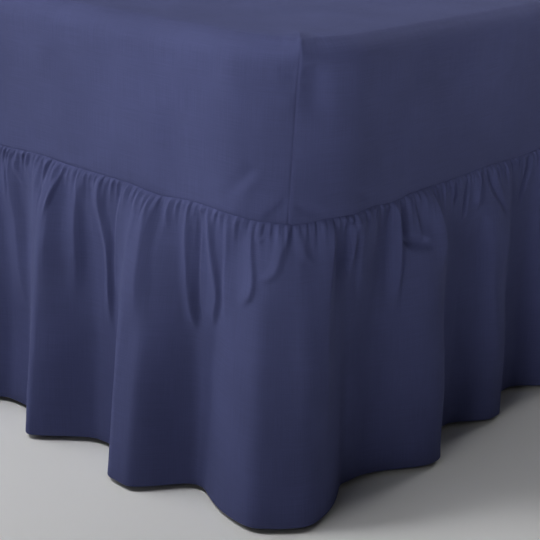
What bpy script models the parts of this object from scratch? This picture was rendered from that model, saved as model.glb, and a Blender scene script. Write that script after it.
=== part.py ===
# A bed skirt: a fitted valance sheet with a gathered frill, on a plain mattress and divan base.
# Metres, +Z up. The origin is on the floor under the middle of the bed, +X is across the bed and
# -Y is the foot end. Both cloths are thin shells. Distances along the bed's outline are measured
# from the middle of the round corner at +X -Y: plus runs up the +X side, minus along the foot end.

import math
import random

import bmesh
import bpy

# Bed
MATTRESS_WIDTH = 0.900
MATTRESS_LENGTH = 1.900
MATTRESS_EDGE = 0.033
BED_CORNER = 0.150
BASE_INSET = 0.008
BASE_HEIGHT = 0.405
BASE_EDGE = 0.008
TOP_HEIGHT = 0.645
SEAT_GAP = 0.0003
CORNER_STEPS = 8
EDGE_STEPS = 3

# Cloth
CLOTH_CORNER = 0.140
CLOTH_THICKNESS = 0.0015
WALL_CLEARANCE = 0.002
DECK_CLEARANCE = 0.0004
HALF_X = MATTRESS_WIDTH / 2 + WALL_CLEARANCE + CLOTH_THICKNESS
HALF_Y = MATTRESS_LENGTH / 2 + WALL_CLEARANCE + CLOTH_THICKNESS

# The seam between sheet and frill, and how far it sags at the corners
SEAM_HEIGHT = 0.410
SEAM_GAP = 0.0004
CORNER_SAG = 0.009
CORNER_SAG_REACH = 0.150

# Fitted sheet: corner columns lie close together, straight runs have few
CORNER_REACH = 0.150
CORNER_COLUMNS = 16
STRAIGHT_PITCH = 0.150
EAR_RISE = 0.008
EAR_REACH = 0.040
# From the deck down the wall: inset from the wall, depth below the deck, how far the corner
# seam stands out there, and how much of the ear's rise that row takes
SHEET_ROWS = (
    {"inset": 0.0750, "depth": 0.0000, "corner_out": 0.000, "ear": 0.0},
    {"inset": 0.0350, "depth": 0.0000, "corner_out": 0.004, "ear": 1.0},
    {"inset": 0.0175, "depth": 0.0047, "corner_out": 0.007, "ear": 1.0},
    {"inset": 0.0047, "depth": 0.0175, "corner_out": 0.006, "ear": 1.0},
    {"inset": 0.0000, "depth": 0.0350, "corner_out": -0.001, "ear": 0.0},
    {"inset": 0.0000, "depth": 0.0620, "corner_out": -0.003, "ear": 0.0},
    {"inset": 0.0000, "depth": 0.1100, "corner_out": 0.003, "ear": 0.0},
    {"inset": 0.0000, "depth": 0.1650, "corner_out": 0.003, "ear": 0.0},
)
CORNER_OUT_REACH = 0.085
# The last two rows end above the seam and at it
WALL_END = (0.020, 0.0)

# Frill
HEM_HEIGHT = 0.008
FRILL_COLUMNS = 420
FRILL_ROWS = (0.0, 0.02, 0.15, 0.36, 0.58, 0.80, 1.0)
PUFF = 0.004
PUFF_REACH = 0.05
END_STAND_OFF = 0.027
SIDE_STAND_OFF = 0.009
STAND_OFF_GROWTH = 1.5
FOLD_SWELL = 0.55
FOLD_WIDTH_AT_SEAM = 0.50
FOLD_WIDENS = 0.16
PLEAT_HEAD = 0.6
LEAST_HALF_WIDTH = 0.026

# The large folds near the corner at +X -Y: where the crest leaves the seam, where it meets the
# hem, how far it stands out of the valleys at the hem, its half width there on either side, how
# much of that is flat, and how straight its flanks are, from 0 to 1
CORNER_FOLDS = (
    {"seam": -0.630, "hem": -0.600, "rise": 0.060, "before": 0.075, "after": 0.085, "flat": 0.10,
     "crisp": 0.5},
    {"seam": -0.442, "hem": -0.399, "rise": 0.067, "before": 0.070, "after": 0.084, "flat": 0.00,
     "crisp": 0.6},
    {"seam": -0.240, "hem": -0.197, "rise": 0.071, "before": 0.074, "after": 0.086, "flat": 0.25,
     "crisp": 0.6},
    {"seam": -0.012, "hem": -0.006, "rise": 0.081, "before": 0.090, "after": 0.090, "flat": 0.25,
     "crisp": 0.9},
    {"seam": 0.266, "hem": 0.243, "rise": 0.059, "before": 0.120, "after": 0.077, "flat": 0.08,
     "crisp": 0.5},
    {"seam": 0.446, "hem": 0.433, "rise": 0.044, "before": 0.074, "after": 0.072, "flat": 0.15,
     "crisp": 0.5},
    {"seam": 0.638, "hem": 0.620, "rise": 0.050, "before": 0.072, "after": 0.080, "flat": 0.10,
     "crisp": 0.5},
)
# The pleats that run down from the gathering there and die out: where each starts and ends along
# the seam, how far down it ends as a share of the drop, its height and its half width
CORNER_PLEATS = (
    {"start": -0.530, "end": -0.472, "down": 0.68, "rise": 0.009, "half_width": 0.028},
    {"start": -0.368, "end": -0.358, "down": 0.50, "rise": 0.010, "half_width": 0.018},
    {"start": -0.328, "end": -0.298, "down": 0.56, "rise": 0.011, "half_width": 0.018},
    {"start": -0.149, "end": -0.125, "down": 0.44, "rise": 0.010, "half_width": 0.017},
    {"start": -0.110, "end": -0.098, "down": 0.40, "rise": 0.009, "half_width": 0.016},
    {"start": -0.084, "end": -0.072, "down": 0.38, "rise": 0.009, "half_width": 0.018},
    {"start": 0.051, "end": 0.036, "down": 0.80, "rise": 0.010, "half_width": 0.024},
    {"start": 0.100, "end": 0.087, "down": 0.26, "rise": 0.008, "half_width": 0.016},
    {"start": 0.193, "end": 0.178, "down": 0.40, "rise": 0.010, "half_width": 0.018},
    {"start": 0.399, "end": 0.392, "down": 0.26, "rise": 0.008, "half_width": 0.018},
    {"start": 0.484, "end": 0.450, "down": 0.48, "rise": 0.009, "half_width": 0.020},
    {"start": 0.585, "end": 0.575, "down": 0.43, "rise": 0.009, "half_width": 0.018},
)

# The folds of the rest of the frill, spaced and sized a little unevenly
FOLD_SEED = 7
FOLD_PITCH = 0.205
FOLD_RISE = (0.044, 0.068)
FOLD_HALF_WIDTH = (0.066, 0.100)
FOLD_FLAT = (0.0, 0.25)
FOLD_CRISP = (0.3, 0.8)
FOLD_LEAN = 0.024
CORNER_FOLD_RISE = (0.072, 0.084)
PITCH_UNEVENNESS = 0.13
PLEATS_PER_FOLD = 3
PLEAT_PLACE = (0.25, 0.75)
PLEAT_DRIFT = 0.045
PLEAT_DOWN = (0.25, 0.75)
PLEAT_RISE = (0.008, 0.014)
PLEAT_HALF_WIDTH = (0.014, 0.022)

SHEET_COLOUR = (0.068, 0.073, 0.172, 1.0)
FRILL_COLOUR = (0.066, 0.071, 0.168, 1.0)
MATTRESS_COLOUR = (0.800, 0.790, 0.760, 1.0)
BASE_COLOUR = (0.420, 0.410, 0.400, 1.0)


def make_material(name, colour, roughness):
    material = bpy.data.materials.new(name)
    material.use_nodes = True
    shader = material.node_tree.nodes["Principled BSDF"]
    shader.inputs["Base Color"].default_value = colour
    shader.inputs["Roughness"].default_value = roughness
    shader.inputs["Metallic"].default_value = 0.0
    return material


def make_object(name, form, material, collection):
    mesh = bpy.data.meshes.new(name)
    form.to_mesh(mesh)
    form.free()
    mesh.materials.append(material)
    mesh.shade_smooth()
    item = bpy.data.objects.new(name, mesh)
    collection.objects.link(item)
    return item


# The bed's outline is a rectangle with round corners, walked anticlockwise

CORNER_SIGNS = ((1, -1), (1, 1), (-1, 1), (-1, -1))
CORNER_ARC = CLOTH_CORNER * math.pi / 2
STRAIGHTS = (2 * (HALF_Y - CLOTH_CORNER), 2 * (HALF_X - CLOTH_CORNER)) * 2
OUTLINE_LENGTH = sum(STRAIGHTS) + 4 * CORNER_ARC
# How far each corner's middle is from the first one's
CORNER_PLACES = [sum(STRAIGHTS[:k]) + k * CORNER_ARC for k in range(4)]


def outline(along):
    """The point of the outline at a distance along it, and the way out of the bed there."""
    left = (along + CORNER_ARC / 2) % OUTLINE_LENGTH
    for k, (sign_x, sign_y) in enumerate(CORNER_SIGNS):
        centre = (sign_x * (HALF_X - CLOTH_CORNER), sign_y * (HALF_Y - CLOTH_CORNER))
        turn = min(left, CORNER_ARC) / CLOTH_CORNER
        angle = math.pi / 2 * (k - 1) + turn
        out = (math.cos(angle), math.sin(angle))
        ahead = min(max(left - CORNER_ARC, 0.0), STRAIGHTS[k])
        point = (
            centre[0] + CLOTH_CORNER * out[0] - ahead * out[1],
            centre[1] + CLOTH_CORNER * out[1] + ahead * out[0],
        )
        if left <= CORNER_ARC + STRAIGHTS[k]:
            break
        left -= CORNER_ARC + STRAIGHTS[k]
    return point, out


def apart(along, place):
    """The signed distance along the outline from a place, the short way round."""
    return (along - place + OUTLINE_LENGTH / 2) % OUTLINE_LENGTH - OUTLINE_LENGTH / 2


def from_corner(along):
    return min(abs(apart(along, place)) for place in CORNER_PLACES)


def hump(distance, reach):
    """A smooth rise from 0 at reach to 1 in the middle."""
    share = min(abs(distance) / reach, 1.0)
    return math.cos(share * math.pi / 2) ** 2


def seam_height(along):
    return SEAM_HEIGHT - CORNER_SAG * hump(from_corner(along), CORNER_SAG_REACH)


# Folds of the frill


def between(low_high, share):
    return low_high[0] + (low_high[1] - low_high[0]) * share


def uneven_fold(chance, hem, at_corner):
    return {
        "seam": hem + chance.uniform(-1, 1) * FOLD_LEAN,
        "hem": hem,
        "rise": between(CORNER_FOLD_RISE if at_corner else FOLD_RISE, chance.random()),
        "before": between(FOLD_HALF_WIDTH, chance.random()),
        "after": between(FOLD_HALF_WIDTH, chance.random()),
        "flat": between(FOLD_FLAT, chance.random()),
        "crisp": between(FOLD_CRISP, chance.random()),
    }


def uneven_pleat(chance, start):
    return {
        "start": start,
        "end": start + chance.uniform(-1, 1) * PLEAT_DRIFT,
        "down": between(PLEAT_DOWN, chance.random()),
        "rise": between(PLEAT_RISE, chance.random()),
        "half_width": between(PLEAT_HALF_WIDTH, chance.random()),
    }


def frill_folds():
    """Every large fold and every pleat, from the corner's tables and from the rule for the rest."""
    chance = random.Random(FOLD_SEED)
    folds = list(CORNER_FOLDS)
    pleats = list(CORNER_PLEATS)
    last = CORNER_FOLDS[-1]["hem"]
    end = OUTLINE_LENGTH + CORNER_FOLDS[0]["hem"]
    for stop in CORNER_PLACES[1:] + [end]:
        count = round((stop - last) / FOLD_PITCH)
        pitch = (stop - last) / count
        for k in range(1, count + 1):
            at_corner = k == count
            shift = 0.0 if at_corner else chance.uniform(-1, 1) * PITCH_UNEVENNESS * pitch
            if not (at_corner and stop == end):
                folds.append(uneven_fold(chance, last + k * pitch + shift, at_corner))
            for n in range(PLEATS_PER_FOLD):
                part_way = (n + between(PLEAT_PLACE, chance.random())) / PLEATS_PER_FOLD
                pleats.append(uneven_pleat(chance, last + (k - 1 + part_way) * pitch))
        last = stop
    return sorted(folds, key=lambda fold: fold["hem"]), pleats


FOLDS, PLEATS = frill_folds()


def lean(along):
    """How far the cloth at this place of the hem moves along the bed on its way down."""
    for fold, after in zip(FOLDS, FOLDS[1:] + FOLDS[:1]):
        span = (after["hem"] - fold["hem"]) % OUTLINE_LENGTH
        ahead = (along - fold["hem"]) % OUTLINE_LENGTH
        if ahead <= span:
            break
    share = (1 - math.cos(math.pi * ahead / span)) / 2
    return between((fold["hem"] - fold["seam"], after["hem"] - after["seam"]), share)


def swollen(down):
    """A fold swells out quickly under the seam, then hangs nearly plumb."""
    return (1 - math.exp(-down / FOLD_SWELL)) / (1 - math.exp(-1 / FOLD_SWELL))


def ridge(distance, reach, fold):
    share = max(min(abs(distance) / reach, 1.0) - fold["flat"], 0.0) / (1 - fold["flat"])
    return between((math.cos(share * math.pi / 2) ** 2, 1 - share), fold["crisp"])


def frill_out(along, down, way_out):
    """How far the frill stands out of the wall, at a share of the way down from seam to hem."""
    stand_off = between((SIDE_STAND_OFF, END_STAND_OFF), way_out[1] ** 2)
    out = PUFF * (1 - math.exp(-down / PUFF_REACH)) + (stand_off - PUFF) * down**STAND_OFF_GROWTH
    swell = swollen(down)
    width = between((1.0, FOLD_WIDTH_AT_SEAM), math.exp(-down / FOLD_WIDENS))
    for fold in FOLDS:
        distance = apart(along, between((fold["seam"], fold["hem"]), swell))
        reach = (fold["after"] if distance > 0 else fold["before"]) * width
        out += fold["rise"] * swell * ridge(distance, reach, fold)
    for pleat in PLEATS:
        if down < pleat["down"]:
            share = down / pleat["down"]
            crest = pleat["start"] + (pleat["end"] - pleat["start"]) * share
            reach = max(pleat["half_width"], LEAST_HALF_WIDTH)
            raised = math.sin(math.pi * share**PLEAT_HEAD)
            out += pleat["rise"] * raised * hump(apart(along, crest), reach)
    return out


def make_strip(columns, rows, place):
    """A closed ring of cloth: a grid whose points are placed by column and row, its ends joined."""
    form = bmesh.new()
    bmesh.ops.create_grid(form, x_segments=columns, y_segments=rows, size=1.0)
    for point in form.verts:
        column = round((point.co.x + 1) / 2 * columns) % columns
        row = round((1 - point.co.y) / 2 * rows)
        point.co = place(column, row)
    bmesh.ops.remove_doubles(form, verts=form.verts, dist=1e-6)
    return form


def thicken(cloth):
    wall = cloth.modifiers.new("thickness", "SOLIDIFY")
    wall.thickness = CLOTH_THICKNESS
    wall.offset = -1.0


def make_frill(material, collection):
    head_rows = FRILL_ROWS[1]

    def place(column, row):
        down = FRILL_ROWS[row]
        at_hem = OUTLINE_LENGTH * column / FRILL_COLUMNS
        along = at_hem - lean(at_hem) * (1 - down)
        point, way_out = outline(along)
        out = frill_out(along, max(down - head_rows, 0.0) / (1 - head_rows), way_out)
        top = seam_height(along) - SEAM_GAP
        return (
            point[0] + way_out[0] * out,
            point[1] + way_out[1] * out,
            top + (HEM_HEIGHT - top) * down,
        )

    form = make_strip(FRILL_COLUMNS, len(FRILL_ROWS) - 1, place)
    thicken(make_object("frill", form, material, collection))


def sheet_columns():
    """Places along the outline: close together at the corners, far apart between them."""
    places = []
    for k, corner in enumerate(CORNER_PLACES):
        step = 2 * CORNER_REACH / CORNER_COLUMNS
        places += [corner - CORNER_REACH + step * n for n in range(CORNER_COLUMNS)]
        straight = STRAIGHTS[k] + CORNER_ARC - 2 * CORNER_REACH
        count = round(straight / STRAIGHT_PITCH)
        places += [corner + CORNER_REACH + straight * n / count for n in range(count)]
    return places


def make_fitted_sheet(material, collection):
    places = sheet_columns()
    rows = len(SHEET_ROWS) + len(WALL_END)

    def place(column, row):
        along = places[column]
        point, way_out = outline(along)
        corner = from_corner(along)
        if row < len(SHEET_ROWS):
            shape = SHEET_ROWS[row]
            out = shape["corner_out"] * hump(corner, CORNER_OUT_REACH) - shape["inset"]
            ear = EAR_RISE * shape["ear"] * hump(corner, EAR_REACH)
            height = TOP_HEIGHT - shape["depth"] + ear
        else:
            out = 0.0
            height = seam_height(along) + WALL_END[row - len(SHEET_ROWS)]
        return (point[0] + way_out[0] * out, point[1] + way_out[1] * out, height)

    form = make_strip(len(places), rows - 1, place)
    deck_edges = [
        edge
        for edge in form.edges
        if edge.is_boundary and min(end.co.z for end in edge.verts) > SEAM_HEIGHT
    ]
    bmesh.ops.contextual_create(form, geom=deck_edges)
    bmesh.ops.recalc_face_normals(form, faces=form.faces)
    thicken(make_object("fitted_sheet", form, material, collection))


def make_block(name, size, bottom, corner, edge, material, collection):
    """A block with round upright corners and softened top and bottom edges."""
    form = bmesh.new()
    bmesh.ops.create_cube(form, size=1.0)
    bmesh.ops.scale(form, vec=size, verts=form.verts)
    bmesh.ops.translate(form, vec=(0, 0, bottom + size[2] / 2), verts=form.verts)
    upright = [e for e in form.edges if abs(e.verts[0].co.z - e.verts[1].co.z) > size[2] / 2]
    bmesh.ops.bevel(
        form,
        geom=upright,
        offset=corner,
        segments=CORNER_STEPS,
        profile=0.5,
        affect="EDGES",
        material=-1,
    )
    rims = [
        e
        for e in form.edges
        if len(e.link_faces) == 2 and sum(abs(f.normal.z) > 0.5 for f in e.link_faces) == 1
    ]
    bmesh.ops.bevel(
        form,
        geom=rims,
        offset=edge,
        segments=EDGE_STEPS,
        profile=0.5,
        affect="EDGES",
        material=-1,
    )
    return make_object(name, form, material, collection)


def make_mattress(material, collection):
    bottom = BASE_HEIGHT + SEAT_GAP
    top = TOP_HEIGHT - CLOTH_THICKNESS - DECK_CLEARANCE
    size = (MATTRESS_WIDTH, MATTRESS_LENGTH, top - bottom)
    make_block("mattress", size, bottom, BED_CORNER, MATTRESS_EDGE, material, collection)


def make_divan_base(material, collection):
    size = (MATTRESS_WIDTH - 2 * BASE_INSET, MATTRESS_LENGTH - 2 * BASE_INSET, BASE_HEIGHT)
    corner = BED_CORNER - BASE_INSET
    make_block("divan_base", size, 0.0, corner, BASE_EDGE, material, collection)


def main():
    for item in list(bpy.data.objects):
        bpy.data.objects.remove(item)
    collection = bpy.data.collections.new("bed_skirt")
    bpy.context.scene.collection.children.link(collection)
    make_divan_base(make_material("base_cover", BASE_COLOUR, 0.90), collection)
    make_mattress(make_material("ticking", MATTRESS_COLOUR, 0.85), collection)
    make_fitted_sheet(make_material("sheet_cloth", SHEET_COLOUR, 0.80), collection)
    make_frill(make_material("frill_cloth", FRILL_COLOUR, 0.80), collection)


main()
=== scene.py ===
import math
import random

import bmesh
import bpy
import numpy as np
from mathutils import Matrix, Vector


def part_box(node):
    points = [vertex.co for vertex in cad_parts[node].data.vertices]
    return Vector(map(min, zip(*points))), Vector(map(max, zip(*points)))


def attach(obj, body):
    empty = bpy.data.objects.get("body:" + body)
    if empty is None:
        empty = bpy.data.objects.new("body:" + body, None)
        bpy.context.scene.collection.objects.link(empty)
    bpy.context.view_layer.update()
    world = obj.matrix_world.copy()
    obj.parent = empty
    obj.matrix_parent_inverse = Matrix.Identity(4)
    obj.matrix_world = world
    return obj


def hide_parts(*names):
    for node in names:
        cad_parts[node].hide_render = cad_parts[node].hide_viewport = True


# A bed skirt: a gathered frill sewn round a fitted sheet, on a plain mattress and divan base.
# Metres, +Z up, the foot end is at -Y. "Along" is a distance round the bed's outline, anticlockwise
# from the middle of the corner at +X -Y. "Down" is a share of the frill's drop, 0 at the seam.

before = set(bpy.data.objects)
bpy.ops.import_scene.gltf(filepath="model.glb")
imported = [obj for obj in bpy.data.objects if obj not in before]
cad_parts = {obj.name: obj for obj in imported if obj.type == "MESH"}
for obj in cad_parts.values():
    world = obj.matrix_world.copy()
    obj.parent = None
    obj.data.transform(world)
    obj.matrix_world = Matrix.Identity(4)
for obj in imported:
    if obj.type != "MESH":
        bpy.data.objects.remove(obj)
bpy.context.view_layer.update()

view = {
    "place": (1.4288, -2.1881, 0.9237),
    "turn": 39.50,  # degrees to the left of +Y
    "dip": 19.77,
    "roll": 2.20,
    "lens": 87.2,
}

bed = {
    "clearance": 0.002,  # between the mattress and the cloth
    "cloth": 0.0015,  # its thickness
    "deckGap": 0.0004,
    "corner": 0.140,  # radius of its corners, from above
    "seam": 0.410,  # height of the seam
    "cornerSag": 0.009,  # how much lower the seam is at a corner
    "cornerSagReach": 0.150,
}


def makeCamera():
    lens = bpy.data.cameras.new("camera")
    lens.lens = view["lens"]
    camera = bpy.data.objects.new("camera", lens)
    turn, dip, roll = (math.radians(view[name]) for name in ("turn", "dip", "roll"))
    camera.matrix_world = (
        Matrix.Translation(view["place"])
        @ Matrix.Rotation(turn, 4, "Z")
        @ Matrix.Rotation(math.pi / 2 - dip, 4, "X")
        @ Matrix.Rotation(roll, 4, "Z")
    )
    bpy.context.scene.collection.objects.link(camera)
    bpy.context.scene.camera = camera


makeCamera()
print("camera placed")

# The bed's outline: a rectangle with round corners

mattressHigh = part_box("mattress")[1]
halfX = mattressHigh[0] + bed["clearance"] + bed["cloth"]
halfY = mattressHigh[1] + bed["clearance"] + bed["cloth"]
deckHeight = mattressHigh[2] + bed["deckGap"] + bed["cloth"]
wallDepth = deckHeight - bed["seam"]
cornerSigns = np.array([(1, -1), (1, 1), (-1, 1), (-1, -1)])
cornerCentres = cornerSigns * (halfX - bed["corner"], halfY - bed["corner"])
cornerArc = bed["corner"] * math.pi / 2
straights = (2 * (halfY - bed["corner"]), 2 * (halfX - bed["corner"])) * 2
outlineLength = sum(straights) + 4 * cornerArc
cornerPlaces = [sum(straights[:k]) + k * cornerArc for k in range(4)]


def outline(along):
    # points of the outline, and the way out of the bed at each
    left = (np.asarray(along, float) + cornerArc / 2) % outlineLength
    point = np.zeros(left.shape + (2,))
    out = np.zeros(left.shape + (2,))
    for k, begun in enumerate(cornerPlaces):
        here = (left >= begun) & (left <= begun + cornerArc + straights[k] + 1e-9)
        angle = math.pi / 2 * (k - 1) + np.minimum(left - begun, cornerArc) / bed["corner"]
        way = np.stack([np.cos(angle), np.sin(angle)], -1)
        ahead = np.maximum(left - begun - cornerArc, 0.0)[..., None]
        turned = np.stack([-way[..., 1], way[..., 0]], -1)
        spot = cornerCentres[k] + bed["corner"] * way + ahead * turned
        point[here] = spot[here]
        out[here] = way[here]
    return point, out


def apart(along, place):
    # signed distance from a place, the short way round
    return (along - place + outlineLength / 2) % outlineLength - outlineLength / 2


def fromCorner(along):
    return np.min([np.abs(apart(along, place)) for place in cornerPlaces], 0)


def hump(distance, reach):
    # a smooth rise from 0 at reach to 1 in the middle
    return np.cos(np.minimum(np.abs(distance) / reach, 1.0) * math.pi / 2) ** 2


def between(lowHigh, share):
    return lowHigh[0] + (lowHigh[1] - lowHigh[0]) * share


def within(chance, lowHigh):
    return between(lowHigh, chance.random())


def spread(chance, most):
    return chance.uniform(-1, 1) * most


def eased(share):
    share = np.clip(share, 0.0, 1.0)
    return share * share * (3 - 2 * share)


# The seam rises and falls a few millimetres, as it was pulled: (along, lift, reach)
seamWaves = (
    (-0.470, 0.0030, 0.08), (-0.220, -0.0050, 0.07), (0.050, 0.0040, 0.05),
    (0.180, -0.0035, 0.05), (0.420, 0.0025, 0.07),
)
seamHabit = {"seed": 3, "pitch": 0.17, "shift": 0.3, "lift": 0.0035, "reach": (0.05, 0.09)}


def straySeamWaves():
    habit = seamHabit
    chance = random.Random(habit["seed"])
    first = seamWaves[-1][0] + habit["pitch"]
    span = outlineLength + seamWaves[0][0] - first
    count = round(span / habit["pitch"])
    return [(first + (k + spread(chance, habit["shift"])) * span / count,
             spread(chance, habit["lift"]), within(chance, habit["reach"]))
            for k in range(count)]


seamShape = list(seamWaves) + straySeamWaves()


def seamHeight(along):
    height = bed["seam"] - bed["cornerSag"] * hump(fromCorner(along), bed["cornerSagReach"])
    for place, lift, reach in seamShape:
        height = height + lift * hump(apart(along, place), reach)
    return height


frill = {
    "hem": 0.008,  # height of its hem
    "hemRound": 0.0007,  # radius of the turn under it
    "hemTurn": 0.012,
    "joins": (-0.70, 0.6475, 1.995, 3.3425),  # where its four widths are sewn together
    "joinDent": 0.0022,
    "joinWidth": 0.003,
    "puff": 0.004,  # how far the whole frill springs out under the seam
    "puffReach": 0.05,  # as a share of the drop
    "flare": 1.5,  # over 1, it hangs straight first and stands out lower down
    "lip": 0.0030,  # the sudden bulge just under the seam
    "lipReach": 0.0028,
    "tuck": 0.0022,  # how far inside the sheet's edge it starts
    "tuckUp": 0.0015,
    "tuckUpReach": 0.0015,
    "slackStart": 0.06,  # metres below the seam
    "endStandOff": 0.027,  # of the hem, between the folds, at the bed's ends
    "sideStandOff": 0.009,
    "swell": 0.55,  # share of the drop in which a fold swells out before it hangs plumb
    "widthAtSeam": 0.50,  # of a fold, as a share of its width at the hem
    "widens": 0.16,  # share of the drop in which it gets most of its width
    "crestRound": 0.006,
}
fullDrop = bed["seam"] - frill["hem"]


def largeFold(seam, hem, rise, before, after, flat, crisp):
    # seam and hem: where the crest starts and ends; rise: how far it stands out at the hem;
    # before and after: its half widths there; flat: the share of them that is flat on top;
    # crisp: 0 for a round fold and 1 for straight flanks
    return {"seam": seam, "hem": hem, "rise": rise, "before": before, "after": after,
            "flat": flat, "crisp": crisp}


# The folds round the corner at +X -Y, the same as the solid's
cornerFolds = (
    largeFold(-0.630, -0.600, 0.060, 0.075, 0.085, 0.10, 0.5),
    largeFold(-0.442, -0.399, 0.067, 0.070, 0.084, 0.00, 0.6),
    largeFold(-0.240, -0.197, 0.071, 0.074, 0.086, 0.25, 0.6),
    largeFold(-0.012, -0.006, 0.081, 0.090, 0.090, 0.25, 0.9),
    largeFold(0.266, 0.243, 0.059, 0.120, 0.077, 0.08, 0.5),
    largeFold(0.446, 0.433, 0.044, 0.074, 0.072, 0.15, 0.5),
    largeFold(0.638, 0.620, 0.050, 0.072, 0.080, 0.10, 0.5),
)

foldHabit = {
    "seed": 7,
    "pitch": 0.205,  # from crest to crest
    "rise": (0.044, 0.068),
    "cornerRise": (0.072, 0.084),
    "halfWidth": (0.066, 0.100),
    "flat": (0.0, 0.25),
    "crisp": (0.3, 0.8),
    "lean": 0.024,
    "unevenness": 0.13,  # of the pitch, as a share of it
}
pleatHabit = {
    "perFold": 3,
    "place": (0.25, 0.75),
    "drift": 0.045,
    "down": (0.25, 0.75),
    "rise": (0.008, 0.014),
    "halfWidth": (0.014, 0.022),
}


def unevenFold(chance, hem, atCorner):
    seam = hem + spread(chance, foldHabit["lean"])
    ranges = ("cornerRise" if atCorner else "rise", "halfWidth", "halfWidth", "flat", "crisp")
    return largeFold(seam, hem, *[within(chance, foldHabit[name]) for name in ranges])


def unevenPleat(chance, start):
    pleat = {"start": start, "end": start + spread(chance, pleatHabit["drift"])}
    for name in ("down", "rise", "halfWidth"):
        pleat[name] = within(chance, pleatHabit[name])
    return pleat


def frillFolds():
    # every large fold, and the pleats of the stretch that has no creases of its own below
    chance = random.Random(foldHabit["seed"])
    folds = list(cornerFolds)
    pleats = []
    last = cornerFolds[-1]["hem"]
    end = outlineLength + cornerFolds[0]["hem"]
    for stop in cornerPlaces[1:] + [end]:
        count = round((stop - last) / foldHabit["pitch"])
        pitch = (stop - last) / count
        for k in range(1, count + 1):
            atCorner = k == count
            shift = 0.0 if atCorner else spread(chance, foldHabit["unevenness"]) * pitch
            if not (atCorner and stop == end):
                folds.append(unevenFold(chance, last + k * pitch + shift, atCorner))
            for n in range(pleatHabit["perFold"]):
                share = (n + within(chance, pleatHabit["place"])) / pleatHabit["perFold"]
                pleats.append(unevenPleat(chance, last + (k - 1 + share) * pitch))
        last = stop
    return sorted(folds, key=lambda fold: fold["hem"]), pleats


folds, pleats = frillFolds()


def lean(along):
    # how far the cloth at this place of the hem moves along the bed on its way down
    moved = np.zeros_like(along)
    for fold, after in zip(folds, folds[1:] + folds[:1]):
        span = (after["hem"] - fold["hem"]) % outlineLength
        ahead = (along - fold["hem"]) % outlineLength
        share = (1 - np.cos(math.pi * ahead / span)) / 2
        ends = (fold["hem"] - fold["seam"], after["hem"] - after["seam"])
        moved = np.where(ahead <= span, between(ends, share), moved)
    return moved


def swollen(down):
    # a fold swells out quickly under the seam, then hangs nearly plumb
    return (1 - np.exp(-down / frill["swell"])) / (1 - math.exp(-1 / frill["swell"]))


def ridge(distance, reach, fold):
    share = np.maximum(np.minimum(np.abs(distance) / reach, 1.0) - fold["flat"], 0.0)
    share = share / (1 - fold["flat"])
    return between((np.cos(share * math.pi / 2) ** 2, 1 - share), fold["crisp"])


def foldOut(along, down, wayOut):
    # how far the large folds hold the cloth out of the wall
    standOff = between((frill["sideStandOff"], frill["endStandOff"]), wayOut[..., 1] ** 2)
    out = frill["puff"] * (1 - np.exp(-down / frill["puffReach"]))
    out = out + (standOff - frill["puff"]) * down ** frill["flare"]
    swell = swollen(down)
    width = between((1.0, frill["widthAtSeam"]), np.exp(-down / frill["widens"]))
    shifts = np.array((-1.0, -0.5, 0.0, 0.5, 1.0)) * frill["crestRound"]
    for fold in folds:
        distance = apart(along, between((fold["seam"], fold["hem"]), swell))
        for shift in shifts:
            reach = np.where(distance + shift > 0, fold["after"], fold["before"]) * width
            height = ridge(distance + shift, reach, fold) / len(shifts)
            out = out + fold["rise"] * swell * height
    return out


def mark(path, rise, before, after, crisp, fade):
    # a crease that stands up by its rise along a path of (along, down) points, or sinks where
    # that is negative; before and after: how wide it slopes off, at both ends of the path;
    # crisp: 1 for a knife edge and 0 for a round back; fade: the share of it that dies out
    return {"path": path, "rise": rise, "before": before, "after": after, "crisp": crisp,
            "fade": fade}


def crease(path, rise, before, after, crisp, fade, downUnit=100):
    # the same in millimetres, with the way down in hundredths of the drop
    path = tuple((along / 1000, down / downUnit) for along, down in path)
    before, after = (tuple(width / 1000 for width in widths) for widths in (before, after))
    return mark(path, rise / 1000, before, after, crisp, fade)


def sheetCrease(*row):
    # the way down is in millimetres below the deck as well
    return crease(*row, downUnit=1000)


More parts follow.
